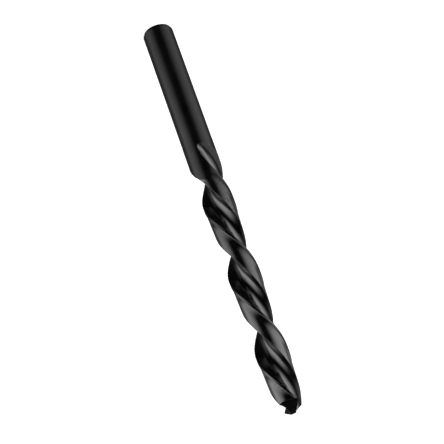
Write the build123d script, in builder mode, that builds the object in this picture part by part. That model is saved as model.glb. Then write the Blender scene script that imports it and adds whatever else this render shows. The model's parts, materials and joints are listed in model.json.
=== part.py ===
from build123d import *
from math import atan, atan2, ceil, cos, degrees, pi, radians, sin, sqrt, tan
import os

# A two-flute twist drill, ground from one straight-shank blank. It stands on
# its shank end: the axis is Z, the origin is the centre of the shank's end
# face, and the point is up. The helix and the cut are left-hand.
# Lengths are in millimetres and angles in degrees.

# Blank
drill_diameter = 9.0
shank_diameter = 8.95
overall_length = 124.2
shank_chamfer_width = 0.4
shank_chamfer_length = 0.8
shank_step_length = 0.5

# Helix and flutes
helix_lead = 46.6
flute_length = 82.2
runout_length = 13.0
web_thickness = 1.5
web_growth = 0.006
flute_root_radius = 2.0
land_angle = 77.0

# Lands
margin_width = 0.7
margin_height = 0.22
heel_clearance = 0.55
clearance_length = 73.0
clearance_ramp = 2.4

# Point, its two flanks ground as parts of two cones
point_angle = 118.0
cone_half_angle = 40.0
cone_distance = 10.0
cone_skew_angle = 20.0
lip_angle = 30.0

# Spacing of the grinding sections along the axis, and how far tools overrun
section_step = 3.0
runout_step = 1.6
overrun = 1.2

drill_radius = drill_diameter / 2
shank_radius = shank_diameter / 2
tool_radius = drill_radius + overrun
tool_top = overall_length + overrun
web_radius = web_thickness / 2
margin_angle = degrees(margin_width / drill_radius)
flute_angle = 180 - land_angle
tongue_height = overall_length - flute_length
full_depth_height = tongue_height + runout_length
body_bottom = tongue_height - 1.5 * overrun
shank_top = body_bottom - shank_step_length
clearance_height = overall_length - clearance_length
full_clearance_height = clearance_height + clearance_ramp


def polar(radius, angle):
    """A point of a section, its angle counted from the cutting edge."""
    return radius * cos(radians(angle)), radius * sin(radians(angle))


def section_plane(height, turn, tilt=0):
    """The plane of a section, which turns with the left-hand helix."""
    angle = turn + 360 * (overall_length - height) / helix_lead
    lean = polar(-sin(radians(tilt)), angle + 90)
    return Plane((0, 0, height), x_dir=(*polar(1, angle), 0), z_dir=(*lean, cos(radians(tilt))))


def spaced(low, high, step):
    """Heights from low to high, evenly spaced by about one step."""
    count = ceil((high - low) / step)
    return [low + (high - low) * i / count for i in range(count + 1)]


def wheel_lift(rise, length, depth):
    """How far a round wheel leaves a cut of this depth, over this length."""
    wheel_radius = (length**2 + depth**2) / (2 * depth)
    return wheel_radius - sqrt(wheel_radius**2 - max(rise, 0) ** 2)


def flute_section(height, turn):
    """One flute, square to its own bottom: a straight rake face, a round root and a hollow heel."""
    depth = drill_radius - web_radius - web_growth * flute_length
    lift = web_growth * (overall_length - height) + wheel_lift(full_depth_height - height, runout_length, depth)
    tilt = degrees(atan(2 * pi * lift / helix_lead))
    root_centre = sqrt((web_radius + flute_root_radius) ** 2 - flute_root_radius**2)
    root_angle = degrees(atan2(root_centre, flute_root_radius))
    with BuildSketch(section_plane(height, turn - flute_angle / 2, tilt)) as section:
        with Locations((lift, 0)):
            with BuildSketch(mode=Mode.PRIVATE) as profile:
                with BuildLine():
                    rake = Line((tool_radius, 0), (root_centre, 0))
                    root = JernArc(rake @ 1, rake % 1, flute_root_radius, root_angle)
                    heel = TangentArc(root @ 1, polar(tool_radius, -flute_angle), tangent=root % 1)
                    ThreePointArc(heel @ 1, polar(tool_radius, -flute_angle / 2), rake @ 0)
                make_face()
            add(profile.sketch, rotation=flute_angle / 2)
    return section.sketch


def clearance_section(height, turn):
    """What is ground off a land from its margin out past the heel, where it is deepest."""
    lift = wheel_lift(full_clearance_height - height, clearance_ramp, heel_clearance)
    fall = (heel_clearance - margin_height) / (land_angle - margin_angle)
    past_heel = land_angle + flute_angle / 3
    middle = (margin_angle + past_heel) / 2
    top = drill_radius - margin_height + lift
    with BuildSketch(section_plane(height, turn)) as section:
        with BuildLine():
            floor = ThreePointArc(
                polar(top, margin_angle),
                polar(top - fall * (middle - margin_angle), middle),
                polar(top - fall * (past_heel - margin_angle), past_heel),
            )
            side = Line(floor @ 1, polar(tool_radius, past_heel))
            rim = ThreePointArc(side @ 1, polar(tool_radius, middle), polar(tool_radius, margin_angle))
            Line(rim @ 1, floor @ 0)
        make_face()
    return section.sketch


with BuildPart() as twist_drill:
    # Blank: a chamfered shank under the slightly thicker body, its seam in the middle of a flute
    seam_angle = -flute_angle / 2
    with BuildSketch(Plane((0, 0, 0), x_dir=(*polar(1, seam_angle), 0), z_dir=(*polar(1, seam_angle - 90), 0))):
        with BuildLine():
            Polyline(
                (0, 0),
                (shank_radius - shank_chamfer_width, 0),
                (shank_radius, shank_chamfer_length),
                (shank_radius, shank_top),
                (drill_radius, body_bottom),
                (drill_radius, tool_top),
                (0, tool_top),
                close=True,
            )
        make_face()
    revolve(axis=Axis.Z)

    # Flutes
    flute_heights = spaced(tongue_height - runout_step, full_depth_height, runout_step)
    flute_heights += spaced(full_depth_height, tool_top + overrun, section_step)[1:]
    for turn in (0, 180):
        loft([flute_section(height, turn) for height in flute_heights], mode=Mode.SUBTRACT)

    # Body clearance behind the margins
    clearance_heights = [clearance_height - overrun / 2, full_clearance_height]
    clearance_heights += spaced(full_clearance_height, tool_top + overrun, section_step)[1:]
    for turn in (0, 180):
        loft([clearance_section(height, turn) for height in clearance_heights], mode=Mode.SUBTRACT)

    # Flanks: each cone's side runs through the tip, skewed past the lip
    cone_height = 1.3 * overall_length
    cone_tilt = point_angle / 2 - cone_half_angle
    apex = (-cone_distance * sin(radians(cone_half_angle)), 0, cone_distance * cos(radians(cone_half_angle)))
    for turn in (0, 180):
        tip = Location((0, 0, overall_length), (0, 0, lip_angle + turn))
        with Locations(tip * Rotation(0, -cone_tilt, 0) * Rotation(0, 0, cone_skew_angle) * Pos(*apex)):
            Cone(
                cone_height * tan(radians(cone_half_angle)),
                0,
                cone_height,
                align=(Align.CENTER, Align.CENTER, Align.MAX),
                mode=Mode.INTERSECT,
            )

twist_drill.part.label = "twist_drill"

os.makedirs("parts", exist_ok=True)
export_step(twist_drill.part, "parts/twist_drill.step")
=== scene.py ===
import json
import math

import bpy
from mathutils import Matrix, Vector

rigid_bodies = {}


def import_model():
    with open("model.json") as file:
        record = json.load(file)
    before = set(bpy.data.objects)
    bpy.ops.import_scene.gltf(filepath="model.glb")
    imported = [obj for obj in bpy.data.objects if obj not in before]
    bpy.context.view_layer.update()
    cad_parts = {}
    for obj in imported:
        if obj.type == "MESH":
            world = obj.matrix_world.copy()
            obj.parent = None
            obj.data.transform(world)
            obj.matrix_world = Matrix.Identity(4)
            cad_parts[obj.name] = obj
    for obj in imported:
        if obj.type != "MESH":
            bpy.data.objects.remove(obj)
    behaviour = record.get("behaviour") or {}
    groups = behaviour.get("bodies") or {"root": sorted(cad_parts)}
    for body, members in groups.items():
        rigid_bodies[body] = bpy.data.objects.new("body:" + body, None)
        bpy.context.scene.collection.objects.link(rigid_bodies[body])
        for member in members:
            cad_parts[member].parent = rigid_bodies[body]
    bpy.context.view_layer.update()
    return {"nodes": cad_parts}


for old in list(bpy.data.objects):
    bpy.data.objects.remove(old)

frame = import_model()
MM = 0.001

# ---------------------------------------------------------------- node helpers


def new_tree(owner):
    owner.use_nodes = True
    tree = owner.node_tree
    tree.nodes.clear()
    return tree


def put(tree, socket, value):
    if isinstance(value, bpy.types.NodeSocket):
        tree.links.new(value, socket)
    else:
        socket.default_value = value


def math_node(tree, operation, a, b=0.0):
    made = tree.nodes.new("ShaderNodeMath")
    made.operation = operation
    put(tree, made.inputs[0], a)
    put(tree, made.inputs[1], b)
    return made.outputs[0]


def add(tree, a, b):
    return math_node(tree, "ADD", a, b)


def times(tree, a, b):
    return math_node(tree, "MULTIPLY", a, b)


def ramp(tree, value, low, high, to_low=0.0, to_high=1.0):
    """A smooth step from to_low at low to to_high at high; low may be the larger."""
    made = tree.nodes.new("ShaderNodeMapRange")
    made.interpolation_type = "SMOOTHSTEP"
    put(tree, made.inputs["Value"], value)
    numbers = {"From Min": low, "From Max": high, "To Min": to_low, "To Max": to_high}
    for name, number in numbers.items():
        put(tree, made.inputs[name], number)
    return made.outputs["Result"]


def noise(tree, vector, scale, detail, roughness, stretch=None):
    if stretch:
        mapping = tree.nodes.new("ShaderNodeMapping")
        put(tree, mapping.inputs["Vector"], vector)
        mapping.inputs["Scale"].default_value = stretch
        vector = mapping.outputs["Vector"]
    made = tree.nodes.new("ShaderNodeTexNoise")
    put(tree, made.inputs["Vector"], vector)
    made.inputs["Scale"].default_value = scale
    made.inputs["Detail"].default_value = detail
    made.inputs["Roughness"].default_value = roughness
    return made.outputs["Fac"]


def blend(tree, factor, a, b):
    made = tree.nodes.new("ShaderNodeMix")
    made.data_type = "FLOAT"
    put(tree, made.inputs["Factor"], factor)
    put(tree, made.inputs["A"], a)
    put(tree, made.inputs["B"], b)
    return made.outputs["Result"]


def blend_vectors(tree, factor, a, b):
    made = tree.nodes.new("ShaderNodeMix")
    made.data_type = "VECTOR"
    vectors = [socket for socket in made.inputs if socket.type == "VECTOR"]
    put(tree, made.inputs["Factor"], factor)
    put(tree, vectors[-2], a)
    put(tree, vectors[-1], b)
    return next(socket for socket in made.outputs if socket.type == "VECTOR")


def split(tree, vector):
    made = tree.nodes.new("ShaderNodeSeparateXYZ")
    tree.links.new(vector, made.inputs[0])
    return made.outputs


def turned_about_axis(tree, vector, angle):
    made = tree.nodes.new("ShaderNodeVectorRotate")
    made.rotation_type = "Z_AXIS"
    put(tree, made.inputs["Vector"], vector)
    put(tree, made.inputs["Angle"], angle)
    return made.outputs["Vector"]


def dot_flat(tree, x, y, way):
    """How far (x, y) reaches along a direction of the drill's cross-section."""
    return add(tree, times(tree, x, math.cos(way)), times(tree, y, math.sin(way)))


def length_flat(tree, x, y):
    """How far (x, y) is from the drill's axis."""
    return math_node(tree, "SQRT", add(tree, times(tree, x, x), times(tree, y, y)))


# ---------------------------------------------------------------- camera

# A pinhole camera fitted to the photograph's silhouette. Pixels are the photograph's.
IMAGE_SIDE = 444
IMAGE_MIDDLE = IMAGE_SIDE / 2
FOCAL = 1580.0
DIAMETER_PX = 32.8
CENTRE = (222.945, 215.779)
AXIS = (0.33557795, 0.94201244)
TILT = math.radians(26.47)
PHASE = math.radians(48.3)  # the part's angle that faces the camera
DIAMETER = 9.0 * MM
LENGTH = 124.2 * MM
TIP_AT = 6.732  # diameters from the given centre to the tip
SENSOR_WIDTH = 36


def unit_axes():
    """The drill's axes in the camera's frame: x right, y down, z away."""
    c, s = math.cos(TILT), math.sin(TILT)
    axis = Vector((AXIS[0] * c, AXIS[1] * c, -s))
    near = Vector((-AXIS[0] * s, -AXIS[1] * s, -c))
    side = Vector((AXIS[1], -AXIS[0], 0))
    x = near * math.cos(PHASE) + side * math.sin(PHASE)
    y = near * math.sin(PHASE) - side * math.cos(PHASE)
    return x, y, axis


def make_camera():
    x, y, axis = unit_axes()
    depth = FOCAL / DIAMETER_PX
    across, down = [(pixel - IMAGE_MIDDLE) / FOCAL * depth for pixel in CENTRE]
    base = (Vector((across, down, depth)) + axis * (TIP_AT - LENGTH / DIAMETER)) * DIAMETER
    to_part = Matrix((x, y, axis))
    data = bpy.data.cameras.new("camera")
    data.sensor_width = SENSOR_WIDTH
    data.lens = FOCAL * SENSOR_WIDTH / IMAGE_SIDE
    data.clip_start, data.clip_end = 0.01, 20
    camera = bpy.data.objects.new("camera", data)
    bpy.context.scene.collection.objects.link(camera)
    right, up, back = [to_part @ Vector(way) for way in ((1, 0, 0), (0, -1, 0), (0, 0, -1))]
    place = to_part @ -base
    camera.matrix_world = Matrix(
        [(right[i], up[i], back[i], place[i]) for i in range(3)] + [(0, 0, 0, 1)]
    )
    bpy.context.scene.camera = camera


make_camera()

# ---------------------------------------------------------------- black oxide steel

# Places on the drill. Angles on the section are those of the untwisted helix at the tip.
LEAD = 46.6 * MM
SHANK_TOP = 40.0 * MM
POINT = 121.0 * MM
FULL_RELIEF = 53.6 * MM
RUNOUT_TOP = 55.0 * MM
FLUTE_MIDDLE = math.radians(303)
FLUTE_EYE = (1.25 * MM, -1.93 * MM)  # about the middle of the flute's round wall
FLUTE_ROOT = math.radians(120)  # the way from the eye to the root
WALL_RADII = (3.95 * MM, 3.6 * MM)  # none of the flute's turn, and all of it
LAND_MIDDLE = math.radians(36)
LAND_RADII = (3.95 * MM, 4.0 * MM)  # none of the land's turn, and all of it
LEVEL_RADII = (4.02 * MM, 4.08 * MM)
RING_BELOW = (39.0 * MM, 39.4 * MM)  # the small step between shank and body
RING_ABOVE = (40.8 * MM, 40.5 * MM)

# Looks.
DARKEST = (0.0012, 0.0012, 0.0014, 1)
PALEST = (0.005, 0.0049, 0.0048, 1)
OXIDE_IOR = 1.7
EDGE_RADIUS = 0.12 * MM
EDGE_SAMPLES = 8
SCRATCH_DEPTH = 0.004 * MM
SCRATCH_STRENGTH = 0.5


def along_helix(tree, where):
    """Object coordinates untwisted, so that a streak along Z follows the flutes."""
    from_tip = math_node(tree, "SUBTRACT", split(tree, where)[2], LENGTH)
    return turned_about_axis(tree, where, times(tree, from_tip, 2 * math.pi / LEAD))


def ramp_degrees(tree, place, low, high, to_low, to_high):
    """A ramp over an angle, from one angle to another, all in degrees."""
    return ramp(tree, place, *[math.radians(degrees) for degrees in (low, high, to_low, to_high)])


def wheel_dressing(tree, where):
    """The turn of the flute wall's normal that the dressed wheel gives.

    It goes by the place on the section, from the heel round the root to the lip.
    It is shading only: the solid's wall is flatter than the one in the photograph.
    """
    u, v, z = split(tree, along_helix(tree, where))
    radius = length_flat(tree, u, v)
    side = math_node(tree, "SIGN", dot_flat(tree, u, v, FLUTE_MIDDLE))
    u = math_node(tree, "SUBTRACT", times(tree, u, side), FLUTE_EYE[0])
    v = math_node(tree, "SUBTRACT", times(tree, v, side), FLUTE_EYE[1])
    across_root = dot_flat(tree, u, v, FLUTE_ROOT + math.pi / 2)
    place = math_node(tree, "ARCTAN2", across_root, dot_flat(tree, u, v, FLUTE_ROOT))
    heel = ramp_degrees(tree, place, 85, -4, 10, -22)
    rake = ramp_degrees(tree, place, -4, -40, 0, 22)
    above = ramp(tree, z, RUNOUT_TOP - 3 * MM, RUNOUT_TOP + 1 * MM)
    inside = times(tree, ramp(tree, radius, *WALL_RADII), above)
    return times(tree, add(tree, heel, rake), inside)


def land_relief(tree, where):
    """The turn of a land's normal that the relief's grinding gives, behind the margin.

    It is shading only, like the turn of the flute's wall.
    """
    u, v, z = split(tree, along_helix(tree, where))
    radius = length_flat(tree, u, v)
    side = math_node(tree, "SIGN", dot_flat(tree, u, v, LAND_MIDDLE))
    place = math_node(tree, "ARCTAN2", times(tree, v, side), times(tree, u, side))
    front = ramp_degrees(tree, place, 9, 32, 10, -5)
    back = ramp_degrees(tree, place, 32, 66, 0, 5)
    behind = ramp(tree, place, math.radians(7.5), math.radians(9))
    outside = times(tree, ramp(tree, radius, *LAND_RADII), behind)
    above = ramp(tree, z, FULL_RELIEF - 2 * MM, FULL_RELIEF)
    return times(tree, add(tree, front, back), times(tree, outside, above))


def ground_normal(tree, where, normal):
    """The wall's normal with both turns, and level where the relief and the body begin."""
    x, y, z = split(tree, where)
    flat = tree.nodes.new("ShaderNodeCombineXYZ")
    put(tree, flat.inputs[0], x)
    put(tree, flat.inputs[1], y)
    outward = tree.nodes.new("ShaderNodeVectorMath")
    outward.operation = "NORMALIZE"
    tree.links.new(flat.outputs[0], outward.inputs[0])

    below = ramp(tree, z, FULL_RELIEF + 1 * MM, FULL_RELIEF)
    above = ramp(tree, z, FULL_RELIEF - 3.2 * MM, FULL_RELIEF - 2.6 * MM)
    on_land = ramp(tree, length_flat(tree, x, y), *LEVEL_RADII)
    start = times(tree, times(tree, below, above), on_land)
    ring = times(tree, ramp(tree, z, *RING_BELOW), ramp(tree, z, *RING_ABOVE))
    levelled = math_node(tree, "MAXIMUM", start, ring)

    mixed = blend_vectors(tree, levelled, normal, outward.outputs[0])
    turn = add(tree, wheel_dressing(tree, where), land_relief(tree, where))
    return turned_about_axis(tree, mixed, turn)


def black_oxide(name):
    material = bpy.data.materials.new(name)
    tree = new_tree(material)
    where = tree.nodes.new("ShaderNodeTexCoord").outputs["Object"]
    z = split(tree, where)[2]
    fluted = ramp(tree, z, SHANK_TOP, SHANK_TOP + 2 * MM)
    tip = ramp(tree, z, POINT, POINT + 1 * MM)

    # Grinding marks: rings on the shank, streaks along the flutes, lines over the flanks
    rings = noise(tree, where, 1.0, 5.0, 0.65, (150, 150, 11000))
    streaks = noise(tree, along_helix(tree, where), 1.0, 5.0, 0.65, (5200, 5200, 90))
    flank = noise(tree, where, 1.0, 4.0, 0.6, (700, 9000, 700))
    grind = blend(tree, tip, blend(tree, fluted, rings, streaks), flank)
    grain = noise(tree, where, 9000.0, 3.0, 0.7)
    cloud = noise(tree, where, 210.0, 5.0, 0.6)

    colour = tree.nodes.new("ShaderNodeValToRGB")
    dark, pale = colour.color_ramp.elements
    dark.position, dark.color = 0.35, DARKEST
    pale.position, pale.color = 0.68, PALEST
    put(tree, colour.inputs["Fac"], add(tree, times(tree, cloud, 0.6), times(tree, grind, 0.4)))

    shader = tree.nodes.new("ShaderNodeBsdfPrincipled")
    put(tree, shader.inputs["Base Color"], colour.outputs["Color"])
    worn = add(tree, times(tree, grind, 0.10), times(tree, cloud, 0.08))
    put(tree, shader.inputs["Roughness"], add(tree, worn, blend(tree, fluted, 0.10, 0.05)))
    shader.inputs["IOR"].default_value = OXIDE_IOR

    edge = tree.nodes.new("ShaderNodeBevel")
    edge.samples = EDGE_SAMPLES
    edge.inputs["Radius"].default_value = EDGE_RADIUS
    fine = tree.nodes.new("ShaderNodeBump")
    fine.inputs["Strength"].default_value = SCRATCH_STRENGTH
    fine.inputs["Distance"].default_value = SCRATCH_DEPTH
    put(tree, fine.inputs["Height"], add(tree, grind, times(tree, grain, 0.5)))
    put(tree, fine.inputs["Normal"], ground_normal(tree, where, edge.outputs["Normal"]))
    put(tree, shader.inputs["Normal"], fine.outputs["Normal"])
    out = tree.nodes.new("ShaderNodeOutputMaterial")
    tree.links.new(shader.outputs["BSDF"], out.inputs["Surface"])
    return material


steel = black_oxide("black_oxide_steel")
drill = frame["nodes"]["twist_drill"]
for place in drill.material_slots:
    place.material = steel

# ---------------------------------------------------------------- floor and light

FLOOR_HALF = 1.2
FLOOR_COLOUR = (0.85, 0.85, 0.85, 1)
FLOOR_GLOW = 0.86  # seen by the camera alone, so that the pale floor reads as white
LAMP_SIZE = 0.3
LAMP_POWER = 2.0
LAMP_HEIGHT = 0.7
BOX_STRENGTH = 2.9
AMBIENT = 0.006
WHITE = (1, 1, 1, 1)


def make_floor():
    mesh = bpy.data.meshes.new("floor")
    corners = [(-1, -1), (1, -1), (1, 1), (-1, 1)]
    mesh.from_pydata([(x * FLOOR_HALF, y * FLOOR_HALF, 0) for x, y in corners], [], [(0, 1, 2, 3)])
    floor = bpy.data.objects.new("floor", mesh)
    bpy.context.scene.collection.objects.link(floor)
    material = bpy.data.materials.new("floor_white")
    tree = new_tree(material)
    seen = tree.nodes.new("ShaderNodeLightPath").outputs["Is Camera Ray"]
    diffuse = tree.nodes.new("ShaderNodeBsdfDiffuse")
    diffuse.inputs["Color"].default_value = FLOOR_COLOUR
    glow = tree.nodes.new("ShaderNodeEmission")
    put(tree, glow.inputs["Strength"], times(tree, seen, FLOOR_GLOW))
    total = tree.nodes.new("ShaderNodeAddShader")
    tree.links.new(diffuse.outputs[0], total.inputs[0])
    tree.links.new(glow.outputs[0], total.inputs[1])
    out = tree.nodes.new("ShaderNodeOutputMaterial")
    tree.links.new(total.outputs[0], out.inputs["Surface"])
    mesh.materials.append(material)
    floor.visible_glossy = False
    floor.visible_shadow = False


def make_overhead():
    """A soft lamp over the drill, which lights the floor and gives the drill its shadow there.

    Reflections don't see it, because the photograph's drill is black where it faces up.
    """
    data = bpy.data.lights.new("overhead", "AREA")
    data.shape = "DISK"
    data.size = LAMP_SIZE
    data.energy = LAMP_POWER
    lamp = bpy.data.objects.new("overhead", data)
    lamp.location = (0, 0, LAMP_HEIGHT)
    lamp.visible_glossy = False
    bpy.context.scene.collection.objects.link(lamp)


def soft_box(tree, x, y, level, angle, wide, strength):
    """A wide soft box at an angle round the drill, counted from the camera's side."""
    along = dot_flat(tree, x, y, PHASE - math.radians(angle))
    near_it = ramp(tree, along, math.cos(math.radians(wide)), 1.0)
    return times(tree, times(tree, near_it, level), strength)


def make_world():
    """Four soft boxes, as the shank and the lands reflect them, and white for the camera."""
    world = bpy.data.worlds.new("studio")
    bpy.context.scene.world = world
    tree = new_tree(world)
    x, y, z = split(tree, tree.nodes.new("ShaderNodeTexCoord").outputs["Generated"])
    flat = math_node(tree, "MAXIMUM", length_flat(tree, x, y), 0.001)
    x = math_node(tree, "DIVIDE", x, flat)
    y = math_node(tree, "DIVIDE", y, flat)

    # How high and low the boxes reach, and how the side boxes fade away from the camera
    foot = add(tree, ramp(tree, z, -0.80, -0.40, 0.0, 0.25), ramp(tree, z, -0.48, -0.26, 0.0, 0.75))
    level = times(tree, foot, ramp(tree, z, 0.36, -0.02))
    toward = dot_flat(tree, x, y, PHASE)
    left_level = times(tree, level, ramp(tree, toward, -0.55, 0.1))
    right_level = times(tree, level, ramp(tree, toward, -0.65, 0.0))
    top_level = ramp(tree, z, 0.35, 0.48)

    left = soft_box(tree, x, y, left_level, -94, 80, BOX_STRENGTH)
    right = soft_box(tree, x, y, right_level, 94, 78, BOX_STRENGTH)
    top = soft_box(tree, x, y, top_level, 40, 75, 0.75)
    fill = soft_box(tree, x, y, level, 180, 100, 0.5)
    weak = add(tree, add(tree, fill, top), AMBIENT)

    soft = tree.nodes.new("ShaderNodeBackground")
    soft.inputs["Color"].default_value = WHITE
    put(tree, soft.inputs["Strength"], add(tree, add(tree, left, right), weak))
    white = tree.nodes.new("ShaderNodeBackground")
    white.inputs["Color"].default_value = WHITE
    mix = tree.nodes.new("ShaderNodeMixShader")
    tree.links.new(tree.nodes.new("ShaderNodeLightPath").outputs["Is Camera Ray"], mix.inputs[0])
    tree.links.new(soft.outputs[0], mix.inputs[1])
    tree.links.new(white.outputs[0], mix.inputs[2])
    out = tree.nodes.new("ShaderNodeOutputWorld")
    tree.links.new(mix.outputs[0], out.inputs["Surface"])


make_floor()
make_overhead()
make_world()
bpy.context.scene.view_settings.view_transform = "Standard"
